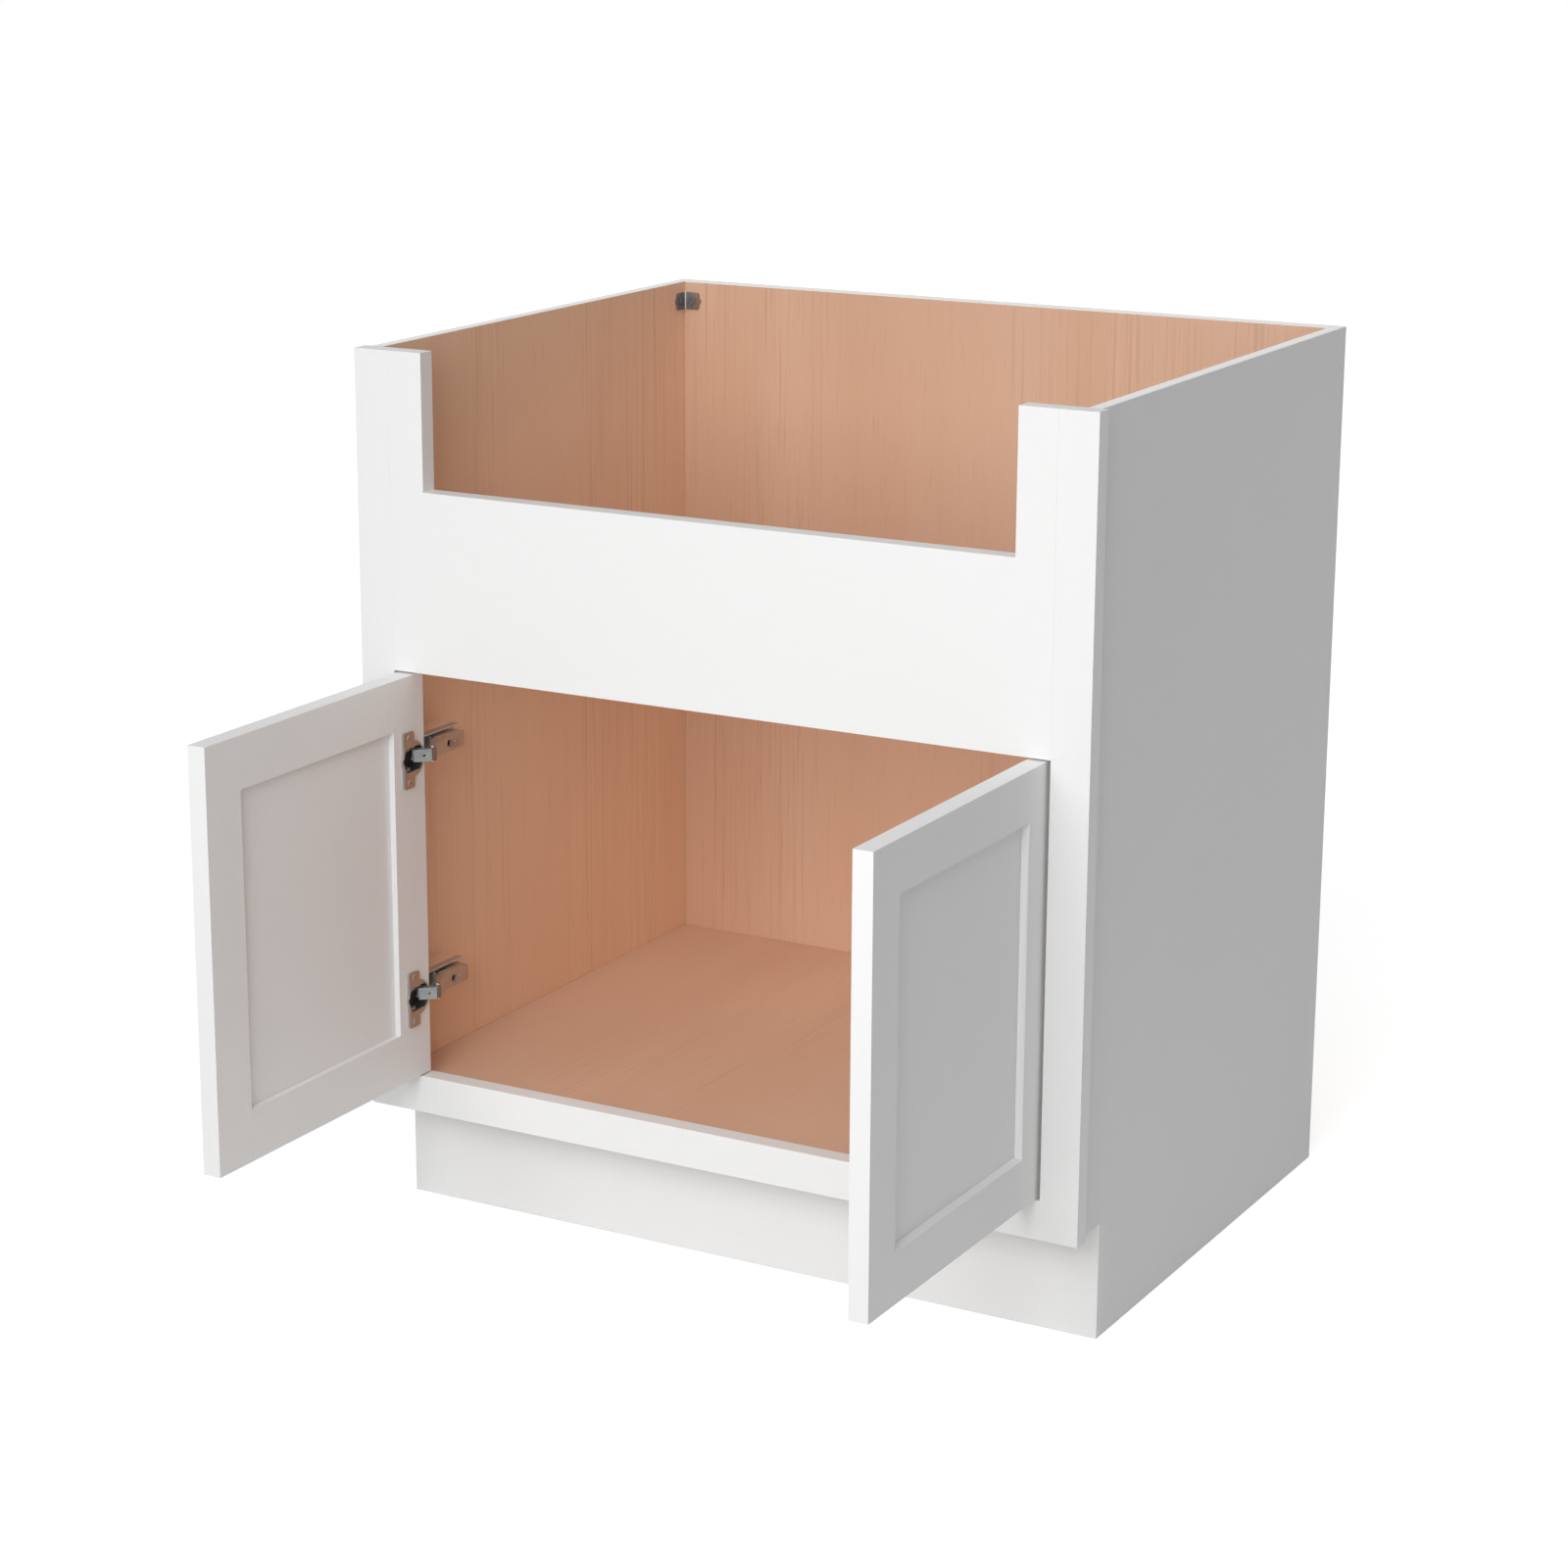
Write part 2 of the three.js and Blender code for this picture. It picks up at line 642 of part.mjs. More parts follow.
// Mounting plate: a base with upturned edges and a raised rib that carries the arm. A stud of
// the rib stands in the arm's rear hole.
function mountingPlate() {
  const half = plateWidth / 2;
  const rear = armRearV + plateMargin;
  const front = frameThickness + 5;
  const ribTop = armFaceU - armWall - seat;
  const base = block([0, front, -half], [plateEdgeHeight, rear, half]);
  const inner = half - plateEdgeWall;
  const channel = block([plateThickness, front - 1, -inner], [plateEdgeHeight + 1, rear + 1, inner]);
  const ribHalf = plateRibWidth / 2;
  const rib = block([plateThickness / 2, armNeckV + 3, -ribHalf], [ribTop, armRearV - 1, ribHalf]);
  const headFloor = ribTop - armScrewHead;
  const headBore = bar(armScrewRadius + 0.3, 0, 0, headFloor, ribTop + 1);
  const shankBore = bar(2.2, 0, 0, plateThickness + 2, ribTop, 16);
  const camStud = bar(camStudRadius, 0, 0, plateThickness, armFaceU - armWall / 2, 16);
  camStud.rotateY(Math.PI / 2).translate(0, armNeckV + camStudSetback, 0);
  return cutBy(
    joined(cutBy(base, channel), rib, camStud),
    joined(headBore, shankBore).rotateY(Math.PI / 2).translate(0, armNeckV + armScrewSetback, 0),
  );
}

// Screw that joins arm and plate. Its head lies in the rib, below the hole in the arm.
function adjustingScrew() {
  const floor = armFaceU - armWall - seat - armScrewHead;
  const piece = screw(armScrewRadius, armScrewHead - seat, 2, floor - plateThickness - 3);
  return piece.rotateY(Math.PI / 2).translate(floor + seat / 2, armNeckV + armScrewSetback, 0);
}

// Block that brings the mounting plate out from the side panel to the edge of the opening.
function packer() {
  const half = plateWidth / 2;
  return block(
    [sideU + seat, frameThickness + seat, -half],
    [-seat, armRearV + plateMargin + packerMargin, half],
  );
}

// Everything on one side that belongs to a door and its hinges.
function doorSide(side) {
  const group = new THREE.Group();
  group.position.set(-openingHalf, frameFront, 0);
  addDoor(group, side);
  for (const [level, height] of Object.entries(hingeHeights)) {
    const hinge = new THREE.Group();
    const name = `${side}_${level}_hinge`;
    hinge.position.z = height;
    place(hinge, `${name}_packer`, packer(), veneer);
    place(hinge, `${name}_plate`, mountingPlate(), nickel);
    place(hinge, `${name}_arm`, hingeArm(), nickel);
    place(hinge, `${name}_adjusting_screw`, adjustingScrew(), darkSteel);
    place(hinge, `${name}_arm_pin`, armPin(), darkSteel);
    place(hinge, `${name}_link`, hingeLink(), nickel);
    place(hinge, `${name}_cup`, hingeCup(), nickel);
    place(hinge, `${name}_spring`, hingeSpring(), darkSteel);
    group.add(hinge);
  }
  return group;
}

// Everything on the left; on the right the same, mirrored.
function halfCabinet(side) {
  const half = new THREE.Group();
  place(half, `${side}_side_panel`, sidePanel(), veneer);
  place(half, `${side}_stile`, stile(), white);
  half.add(bracketCorner(side));
  half.add(doorSide(side));
  return half;
}

const cabinet = new THREE.Group();
const left = halfCabinet("left");
const right = halfCabinet("right");
right.scale.x = -1;
cabinet.add(left, right);
place(cabinet, "back_panel", backPanel(), veneer);
place(cabinet, "floor_panel", floorPanel(), veneer);
place(cabinet, "toe_board", toeBoard(), white);
place(cabinet, "bottom_rail", bottomRail(), white);
place(cabinet, "apron", apron(), white);

export default cabinet;
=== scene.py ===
import math
import bmesh
import bpy
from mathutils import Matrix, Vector


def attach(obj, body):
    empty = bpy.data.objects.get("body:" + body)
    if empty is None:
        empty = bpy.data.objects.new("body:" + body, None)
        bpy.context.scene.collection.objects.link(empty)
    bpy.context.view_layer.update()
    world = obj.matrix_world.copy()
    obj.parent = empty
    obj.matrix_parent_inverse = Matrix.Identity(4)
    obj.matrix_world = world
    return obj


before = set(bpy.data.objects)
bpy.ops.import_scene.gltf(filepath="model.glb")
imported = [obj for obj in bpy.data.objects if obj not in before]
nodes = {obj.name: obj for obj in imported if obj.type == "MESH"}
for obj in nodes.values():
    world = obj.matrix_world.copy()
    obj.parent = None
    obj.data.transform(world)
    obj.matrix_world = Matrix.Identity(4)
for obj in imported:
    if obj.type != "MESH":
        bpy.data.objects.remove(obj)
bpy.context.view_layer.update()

# The room: a white studio sweep with soft lamps in front and above. The camera stands at the
# front right of the open cabinet, with the lens, place and shift that its straight edges give.
camera_place = (1.63485, -3.4345, 1.3720)
camera_pitch, camera_roll, camera_yaw = 0.26278, 0.0007, 0.5245
lens_length, frame_width = 83.54, 36
frame_shift = (0.0499, 0.0022)
view_reach = 60
fill_strength = 0.19
near_softbox_watts, near_softbox_width = 7.8, 0.8
near_softbox_place = (0.25, -2.1, 1.1)
white = (1, 1, 1)
paper_tone = (0.74, 0.74, 0.74)
paper_lift = 0.68
floor_drop = 0.0005
floor_reach = 9

camera = bpy.data.objects.new("camera", bpy.data.cameras.new("camera"))
bpy.context.scene.collection.objects.link(camera)
bpy.context.scene.camera = camera
camera.location = camera_place
camera.rotation_euler = (math.pi / 2 - camera_pitch, camera_roll, camera_yaw)
camera.data.lens = lens_length
camera.data.sensor_width = frame_width
camera.data.shift_x, camera.data.shift_y = frame_shift
camera.data.clip_end = view_reach
bpy.context.scene.view_settings.view_transform = "Standard"


def feed(tree, value, socket):
    if isinstance(value, bpy.types.NodeSocket):
        tree.links.new(value, socket)
    elif isinstance(value, tuple):
        socket.default_value = (*value, 1)
    else:
        socket.default_value = value


def calculate(tree, operation, first, second=0.0):
    node = tree.nodes.new("ShaderNodeMath")
    node.operation = operation
    feed(tree, first, node.inputs[0])
    feed(tree, second, node.inputs[1])
    return node.outputs[0]


def seen_as_background(tree):
    ray = tree.nodes.new("ShaderNodeLightPath").outputs
    direct = calculate(tree, "MAXIMUM", ray["Is Camera Ray"], ray["Is Glossy Ray"])
    return calculate(tree, "MAXIMUM", direct, ray["Is Transmission Ray"])


room = bpy.data.worlds.new("white_room")
bpy.context.scene.world = room
room.use_nodes = True
walls = room.node_tree
walls.nodes.clear()
soft_fill = walls.nodes.new("ShaderNodeBackground")
feed(walls, white, soft_fill.inputs["Color"])
feed(walls, fill_strength, soft_fill.inputs["Strength"])
white_wall = walls.nodes.new("ShaderNodeBackground")
feed(walls, white, white_wall.inputs["Color"])
feed(walls, 1.0, white_wall.inputs["Strength"])
either = walls.nodes.new("ShaderNodeMixShader")
feed(walls, seen_as_background(walls), either.inputs[0])
feed(walls, soft_fill.outputs[0], either.inputs[1])
feed(walls, white_wall.outputs[0], either.inputs[2])
sky = walls.nodes.new("ShaderNodeOutputWorld")
feed(walls, either.outputs[0], sky.inputs["Surface"])

for name, towards, strength, spread in (
    ("front_softbox", (0.05, -0.62, 0.24), 1.4, 50),
    ("overhead_softbox", (0.05, -0.08, 0.30), 0.65, 60),
):
    softbox = bpy.data.objects.new(name, bpy.data.lights.new(name, "SUN"))
    bpy.context.scene.collection.objects.link(softbox)
    softbox.data.energy = strength
    softbox.data.angle = math.radians(spread)
    softbox.rotation_euler = Vector(towards).to_track_quat("Z", "Y").to_euler()

near_softbox = bpy.data.objects.new("near_softbox", bpy.data.lights.new("near_softbox", "AREA"))
bpy.context.scene.collection.objects.link(near_softbox)
near_softbox.data.energy = near_softbox_watts
near_softbox.data.size = near_softbox_width
near_softbox.location = near_softbox_place
near_softbox.rotation_euler = Vector((0, -1, 0)).to_track_quat("Z", "Y").to_euler()
near_softbox.visible_camera = False
near_softbox.visible_glossy = False

paper = bpy.data.materials.new("white_paper_sweep")
paper.use_nodes = True
sheet = paper.node_tree
sheet.nodes.clear()
matt = sheet.nodes.new("ShaderNodeBsdfDiffuse")
feed(sheet, paper_tone, matt.inputs["Color"])
glow = sheet.nodes.new("ShaderNodeEmission")
feed(sheet, white, glow.inputs["Color"])
lift = calculate(sheet, "MULTIPLY", seen_as_background(sheet), paper_lift)
feed(sheet, lift, glow.inputs["Strength"])
both = sheet.nodes.new("ShaderNodeAddShader")
feed(sheet, matt.outputs[0], both.inputs[0])
feed(sheet, glow.outputs[0], both.inputs[1])
sheet_out = sheet.nodes.new("ShaderNodeOutputMaterial")
feed(sheet, both.outputs[0], sheet_out.inputs["Surface"])

floor_mesh = bpy.data.meshes.new("studio_floor")
floor_corners = [
    (x * floor_reach, y * floor_reach, -floor_drop) for x, y in ((-1, -1), (1, -1), (1, 1), (-1, 1))
]
floor_mesh.from_pydata(floor_corners, [], [(0, 1, 2, 3)])
floor_mesh.materials.append(paper)
studio_floor = bpy.data.objects.new("studio_floor", floor_mesh)
bpy.context.scene.collection.objects.link(studio_floor)


# Face frame, apron and toe board: poplar boards, sanded, primed and sprayed white before
# assembly, so each board keeps its own slightly eased edges and a hairline joint.
def blank_material(name):
    material = bpy.data.materials.new(name)
    material.use_nodes = True
    tree = material.node_tree
    tree.nodes.clear()
    shader = tree.nodes.new("ShaderNodeBsdfPrincipled")
    output = tree.nodes.new("ShaderNodeOutputMaterial")
    tree.links.new(shader.outputs["BSDF"], output.inputs["Surface"])
    return material, tree, shader


def grain_space(tree, scale):
    place = tree.nodes.new("ShaderNodeTexCoord")
    mapping = tree.nodes.new("ShaderNodeMapping")
    mapping.inputs["Scale"].default_value = scale
    tree.links.new(place.outputs["Object"], mapping.inputs["Vector"])
    return mapping.outputs["Vector"]


def noise(tree, stretch, scale, detail=2.0, roughness=0.5, distortion=0.0):
    texture = tree.nodes.new("ShaderNodeTexNoise")
    feed(tree, grain_space(tree, stretch), texture.inputs["Vector"])
    feed(tree, scale, texture.inputs["Scale"])
    feed(tree, detail, texture.inputs["Detail"])
    feed(tree, roughness, texture.inputs["Roughness"])
    feed(tree, distortion, texture.inputs["Distortion"])
    return texture.outputs["Fac"]


def ramp(tree, value, *stops):
    node = tree.nodes.new("ShaderNodeValToRGB")
    while len(node.color_ramp.elements) < len(stops):
        node.color_ramp.elements.new(0.5)
    for element, (position, colour) in zip(node.color_ramp.elements, stops):
        element.position = position
        element.color = (*colour, 1)
    tree.links.new(value, node.inputs["Fac"])
    return node.outputs["Color"]


def grey(level):
    return (level, level, level)


def bump(tree, shader, height, strength, distance):
    node = tree.nodes.new("ShaderNodeBump")
    feed(tree, height, node.inputs["Height"])
    feed(tree, strength, node.inputs["Strength"])
    feed(tree, distance, node.inputs["Distance"])
    feed(tree, node.outputs["Normal"], shader.inputs["Normal"])


even = (1, 1, 1)
orange_peel_scale, raised_grain_scale, raised_grain_detail = 420, 30, 3
across_grain = 14
raised_grain_share = 0.1
enamel_tints = ((0.3, (0.835, 0.835, 0.832)), (0.7, (0.845, 0.845, 0.842)))
enamel_roughness = ((0.3, grey(0.36)), (0.7, grey(0.46)))
enamel_specular = 0.4
enamel_relief, enamel_relief_depth = 0.05, 0.0001


def sprayed_white(name, along):
    material, tree, shader = blank_material(name)
    stretch = tuple(1 if axis == along else across_grain for axis in "xyz")
    orange_peel = noise(tree, even, orange_peel_scale)
    raised_grain = noise(tree, stretch, raised_grain_scale, raised_grain_detail)
    feed(tree, ramp(tree, raised_grain, *enamel_tints), shader.inputs["Base Color"])
    feed(tree, ramp(tree, orange_peel, *enamel_roughness), shader.inputs["Roughness"])
    feed(tree, enamel_specular, shader.inputs["Specular IOR Level"])
    grain_relief = calculate(tree, "MULTIPLY", raised_grain, raised_grain_share)
    relief = calculate(tree, "ADD", orange_peel, grain_relief)
    bump(tree, shader, relief, enamel_relief, enamel_relief_depth)
    return material


merge_reach = 1e-6
rounding_steps = 2
least_rounded_angle = math.radians(35)


def ease_edges(piece, width):
    weld = piece.modifiers.new("joined_faces", "WELD")
    weld.merge_threshold = merge_reach
    round_over = piece.modifiers.new("eased_edges", "BEVEL")
    round_over.width = width
    round_over.segments = rounding_steps
    round_over.limit_method = "ANGLE"
    round_over.angle_limit = least_rounded_angle


def finish_node(name, material, width):
    piece = nodes[name]
    piece.data.materials.clear()
    piece.data.materials.append(material)
    if width:
        ease_edges(piece, width)
    return piece


hairline = 0.0001
sanded_edge = 0.0006
white_upright = sprayed_white("sprayed_white_upright", "z")
white_across = sprayed_white("sprayed_white_across", "x")
for name in ("left_stile", "right_stile"):
    finish_node(name, white_upright, hairline)
for name in ("bottom_rail", "apron"):
    finish_node(name, white_across, hairline)
finish_node("toe_board", white_across, sanded_edge)


# Side, back and floor panels: plywood faced with a rosy maple-like veneer under clear satin
# lacquer. The outer faces and the top edges are sprayed white before assembly.
veneer_shades = (
    (0.30, (0.755, 0.455, 0.305)),
    (0.50, (0.800, 0.508, 0.354)),
    (0.70, (0.820, 0.542, 0.391)),
)
dark_line, light_line = (0.87, 0.84, 0.82), (1.03, 1.04, 1.05)
streak_tints = ((0.36, dark_line), (0.47, white), (0.60, white), (0.72, light_line))
cluster_shares = ((0.46, grey(0.10)), (0.62, grey(0.95)))
pore_tints = ((0.26, (0.92, 0.88, 0.85)), (0.34, white))
lacquer_roughness = ((0.3, grey(0.42)), (0.7, grey(0.54)))
lacquer_specular = 0.35
veneer_relief, veneer_relief_depth = 0.06, 0.0001
# One veneer at three tones: the sides lighter and the back and floor darker, as painted light and
# shade that evens out how the lamps light the inside.
side_tone, back_tone, floor_tone = (1.10, 1.17, 1.18), (0.86, 0.87, 0.87), (0.88, 0.88, 0.88)
face_enamel = (0.835, 0.835, 0.832)
# The top edges are painted a lighter white than the outer faces, as a painted highlight where light
# falls on them.
edge_enamel_with_highlight = (0.95, 0.935, 0.91)
edge_enamel_roughness = 0.16
top_edge_level = 0.8758
outer_face = 0.36836
past_the_panel = 1.0
sawn_edge = 0.0005
share_socket, first_socket, second_socket, mixed_socket = 0, 6, 7, 2


def blended(tree, share, first, second, blend="MIX"):
    mix = tree.nodes.new("ShaderNodeMix")
    mix.data_type = "RGBA"
    mix.blend_type = blend
    feed(tree, share, mix.inputs[share_socket])
    feed(tree, first, mix.inputs[first_socket])
    feed(tree, second, mix.inputs[second_socket])
    return mix.outputs[mixed_socket]


def distance_out(tree, axis):
    place = tree.nodes.new("ShaderNodeTexCoord")
    split = tree.nodes.new("ShaderNodeSeparateXYZ")
    tree.links.new(place.outputs["Object"], split.inputs[0])
    return calculate(tree, "ABSOLUTE", split.outputs[axis])


def beyond(tree, axis, limit):
    return calculate(tree, "GREATER_THAN", distance_out(tree, axis), limit)


def veneer(name, grain_axis, tone, painted_beyond=None):
    material, tree, shader = blank_material(name)

    def figure(along, scale, detail, roughness=0.5, distortion=0.0):
        stretch = tuple(along if axis == grain_axis else 1 for axis in "xyz")
        return noise(tree, stretch, scale, detail, roughness, distortion)

    flitch = figure(along=0.10, scale=5, detail=2, distortion=0.4)
    clusters = figure(along=0.06, scale=11, detail=2)
    streaks = figure(along=0.012, scale=300, detail=3, roughness=0.6, distortion=0.3)
    pores = figure(along=0.03, scale=700, detail=1, distortion=0.2)
    shades = [
        (position, tuple(t * c for t, c in zip(tone, shade))) for position, shade in veneer_shades
    ]
    figured = ramp(tree, clusters, *cluster_shares)
    grain = blended(tree, figured, white, ramp(tree, streaks, *streak_tints))
    colour = blended(tree, 1.0, ramp(tree, flitch, *shades), grain, "MULTIPLY")
    colour = blended(tree, 1.0, colour, ramp(tree, pores, *pore_tints), "MULTIPLY")
    gloss = ramp(tree, streaks, *lacquer_roughness)
    if painted_beyond is not None:
        # Top edges get the lighter white of a painted highlight.
        on_top = beyond(tree, "Z", top_edge_level)
        painted = calculate(tree, "MAXIMUM", beyond(tree, "X", painted_beyond), on_top)
        enamel = blended(tree, on_top, face_enamel, edge_enamel_with_highlight)
        colour = blended(tree, painted, colour, enamel)
        gloss = blended(tree, on_top, gloss, grey(edge_enamel_roughness))
    feed(tree, colour, shader.inputs["Base Color"])
    feed(tree, gloss, shader.inputs["Roughness"])
    feed(tree, lacquer_specular, shader.inputs["Specular IOR Level"])
    bump(tree, shader, streaks, veneer_relief, veneer_relief_depth)
    return material


side_veneer = veneer("veneer_sides", "z", side_tone, outer_face)
back_veneer = veneer("veneer_back", "z", back_tone, past_the_panel)
floor_veneer = veneer("veneer_floor", "y", floor_tone)
for name, material in (
    ("left_side_panel", side_veneer),
    ("right_side_panel", side_veneer),
    ("back_panel", back_veneer),
    ("floor_panel", floor_veneer),
):
    finish_node(name, material, sawn_edge)


# Two inset shaker doors: stiles and rails with a groove along the inner edge that holds a flat
# panel, glued at the tenons and sprayed white all over.
door_edge = 0.0008
white_door_rail = sprayed_white("sprayed_white_door_rail", "y")
for side in ("left", "right"):
    for member in ("hinge_stile", "free_stile"):
        finish_node(f"{side}_door_{member}", white_upright, door_edge)
    for member in ("top_rail", "bottom_rail"):
        finish_node(f"{side}_door_{member}", white_door_rail, sanded_edge)
    finish_node(f"{side}_door_panel", white_upright, sawn_edge)


# Packers: blocks of hardwood screwed to the side panels, so that each mounting plate stands
# level with the edge of the door opening.
packer_wood = veneer("veneer_packer", "y", white)
for side in ("left", "right"):
    for level in ("upper", "lower"):
        finish_node(f"{side}_{level}_hinge_packer", packer_wood, sanded_edge)


# Concealed hinges: pressed steel, nickel plated. The cup and the arm are deep drawn, so their
# edges are rounded, and the screws and pins are darker hardened steel.
weld_distance = 2e-6
sharp_fold = math.radians(32)
brush_stretch, brush_scale, cloud_scale = (1, 1, 6), 900, 120
brushed_relief, brushed_relief_depth = 0.05, 0.00005
clouded_tone, most_polished, least_polished = 0.9, 0.8, 1.25
cup_inside = 0.3268
plate_rim = 0.34155


def rounded_shading_tree(sharp_angle):
    tree = bpy.data.node_groups.new("rounded_shading", "GeometryNodeTree")
    tree.is_modifier = True
    tree.interface.new_socket("Geometry", in_out="INPUT", socket_type="NodeSocketGeometry")
    tree.interface.new_socket("Geometry", in_out="OUTPUT", socket_type="NodeSocketGeometry")
    start = tree.nodes.new("NodeGroupInput")
    merge = tree.nodes.new("GeometryNodeMergeByDistance")
    feed(tree, start.outputs[0], merge.inputs["Geometry"])
    feed(tree, weld_distance, merge.inputs["Distance"])
    smooth = tree.nodes.new("GeometryNodeSetShadeSmooth")
    feed(tree, merge.outputs["Geometry"], smooth.inputs["Geometry"])
    bend = tree.nodes.new("GeometryNodeInputMeshEdgeAngle")
    gentle = tree.nodes.new("FunctionNodeCompare")
    gentle.operation = "LESS_THAN"
    feed(tree, bend.outputs["Unsigned Angle"], gentle.inputs["A"])
    feed(tree, sharp_angle, gentle.inputs["B"])
    edges = tree.nodes.new("GeometryNodeSetShadeSmooth")
    edges.domain = "EDGE"
    feed(tree, smooth.outputs["Geometry"], edges.inputs["Geometry"])
    feed(tree, gentle.outputs["Result"], edges.inputs["Shade Smooth"])
    end = tree.nodes.new("NodeGroupOutput")
    feed(tree, edges.outputs["Geometry"], end.inputs[0])
    return tree


rounded_shading = rounded_shading_tree(sharp_fold)


def finish_metal(name, material, width):
    piece = finish_node(name, material, width)
    piece.modifiers.new("rounded_shading", "NODES").node_group = rounded_shading


def plated_steel(name, colour, rough, metal=1.0, painted_shade_inside=None):
    material, tree, shader = blank_material(name)
    brushed = noise(tree, brush_stretch, brush_scale)
    clouds = noise(tree, even, cloud_scale)
    clouded = tuple(clouded_tone * c for c in colour)
    tint = ramp(tree, clouds, (0.3, clouded), (0.7, colour))
    smoothest, roughest = grey(rough * most_polished), grey(rough * least_polished)
    polish = ramp(tree, brushed, (0.3, smoothest), (0.7, roughest))
    # Past the given limit on X the colour is painted darker, as shade deep inside the part.
    if painted_shade_inside is not None:
        limit, painted_shade_colour, deep_roughness = painted_shade_inside
        inside = beyond(tree, "X", limit)
        tint = blended(tree, inside, tint, painted_shade_colour)
        polish = blended(tree, inside, polish, grey(deep_roughness))
    feed(tree, tint, shader.inputs["Base Color"])
    feed(tree, polish, shader.inputs["Roughness"])
    feed(tree, metal, shader.inputs["Metallic"])
    bump(tree, shader, brushed, brushed_relief, brushed_relief_depth)
    return material


nickel = plated_steel("nickel_plate", (0.56, 0.545, 0.53), rough=0.30)
# The floor of the plate's channel is painted darker than its walls: painted shade in the channel,
# not a second finish.
plate_floor_painted_shade = (plate_rim, (0.52, 0.505, 0.49), 0.3)
plate_steel = plated_steel(
    "plate_nickel", (0.82, 0.8, 0.78), rough=0.35, metal=0.7, painted_shade_inside=plate_floor_painted_shade
)
link_steel = plated_steel("link_steel", (0.27, 0.285, 0.28), rough=0.36, metal=0.75)
# The well of the cup is painted near black: painted shade in the recess, not a finish of the steel.
cup_well_painted_shade = (cup_inside, (0.12, 0.12, 0.122), 0.6)
cup_steel = plated_steel("cup_nickel", (0.54, 0.52, 0.505), rough=0.32, painted_shade_inside=cup_well_painted_shade)
spring_steel = plated_steel("spring_steel", grey(0.22), rough=0.4, metal=0.7)
dark_screw = plated_steel("dark_screw_steel", (0.05, 0.05, 0.052), rough=0.35)
pin_steel = plated_steel("pin_steel", grey(0.45), rough=0.25)
hinge_finish = {
    "plate": (plate_steel, 0.00025),
    "arm": (nickel, 0.0004),
    "link": (link_steel, 0.0003),
    "cup": (cup_steel, 0.00025),
    "adjusting_screw": (dark_screw, 0.0002),
    "spring": (spring_steel, 0),
    "arm_pin": (pin_steel, 0.0002),
}
for side in ("left", "right"):
    for level in ("upper", "lower"):
        for part, (material, width) in hinge_finish.items():
            finish_metal(f"{side}_{level}_hinge_{part}", material, width)


# Lugs in the cup: two cheeks of die-cast zinc, one on either side of the links, beside the
# spring. They stand on the floor of the cup and end in a rounded shoulder below its mouth.
hinge_heights = {"lower": 0.2369, "upper": 0.48065}
cup_floor = 0.3391
shoulder_depth, shoulder_line, shoulder_length = 0.32985, -0.6246, 0.0042
shoulder_radius = 0.0036
foot_spread = 0.0041
foot_tuck = 0.0030
lug_near, lug_far = 0.0087, 0.0114
lug_edge = 0.0003
quarter_turn = math.pi / 2
quarter_steps = 6
lug_zinc = plated_steel("lug_zinc", (0.3, 0.31, 0.305), rough=0.45, metal=0.6)


def lug_outline():
    outline = [(cup_floor, shoulder_line + shoulder_length + foot_spread)]
    for quarter, centre in enumerate((shoulder_line + shoulder_length, shoulder_line)):
        for step in range(quarter_steps + 1):
            turn = quarter_turn * (quarter + step / quarter_steps)
            depth = shoulder_depth - shoulder_radius * math.sin(turn)
            outline.append((depth, centre + shoulder_radius * math.cos(turn)))
    outline.append((cup_floor, shoulder_line - foot_tuck))
    return outline


def cup_lugs(side, sign, level):
    outline = lug_outline()
    shape = bmesh.new()
    for way in (-1, 1):
        near, far = (
            [
                shape.verts.new((sign * depth, line, hinge_heights[level] + way * reach))
                for depth, line in outline
            ]
            for reach in (lug_near, lug_far)
        )
        shape.faces.new(near)
        shape.faces.new(far)
        for first in range(len(outline)):
            second = (first + 1) % len(outline)
            shape.faces.new((near[first], near[second], far[second], far[first]))
    bmesh.ops.recalc_face_normals(shape, faces=shape.faces)
    mesh = bpy.data.meshes.new(f"{side}_{level}_cup_lugs")
    shape.to_mesh(mesh)
    shape.free()
    mesh.materials.append(lug_zinc)
    piece = bpy.data.objects.new(mesh.name, mesh)
    bpy.context.scene.collection.objects.link(piece)
    ease_edges(piece, lug_edge)
    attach(piece, f"{side}_door")


for side, sign in (("left", -1), ("right", 1)):
    for level in hinge_heights:
        cup_lugs(side, sign, level)


# Hinge screws: pan heads with a cross recess, two through the wings of each cup into the door
# and one in the tail of each mounting plate. Each stands square on its plate, facing inwards.
wing_face, wing_line, wing_screw_spacing = 0.3242, -0.6232, 0.045
plate_floor, plate_tail = 0.34725, -0.5161
skirt_top, skirt_height = 0.93, 0.6
crown_foot, crown_top, crown_height, crown_low = 0.97, 0.66, 0.65, 0.35
shank_width, shank_reach = 0.5, -0.97
recess_length, recess_height = 1.15, 1.4
head_sides = 28
spin_seed = 7
wing_screw_sizes = {
    "Head Radius": 0.0031,
    "Head Height": 0.0006,
    "Recess Width": 0.0008,
    "Shank Length": 0.012,
}
plate_screw_sizes = {
    "Head Radius": 0.0033,
    "Head Height": 0.0014,
    "Recess Width": 0.0009,
    "Shank Length": 0.014,
}


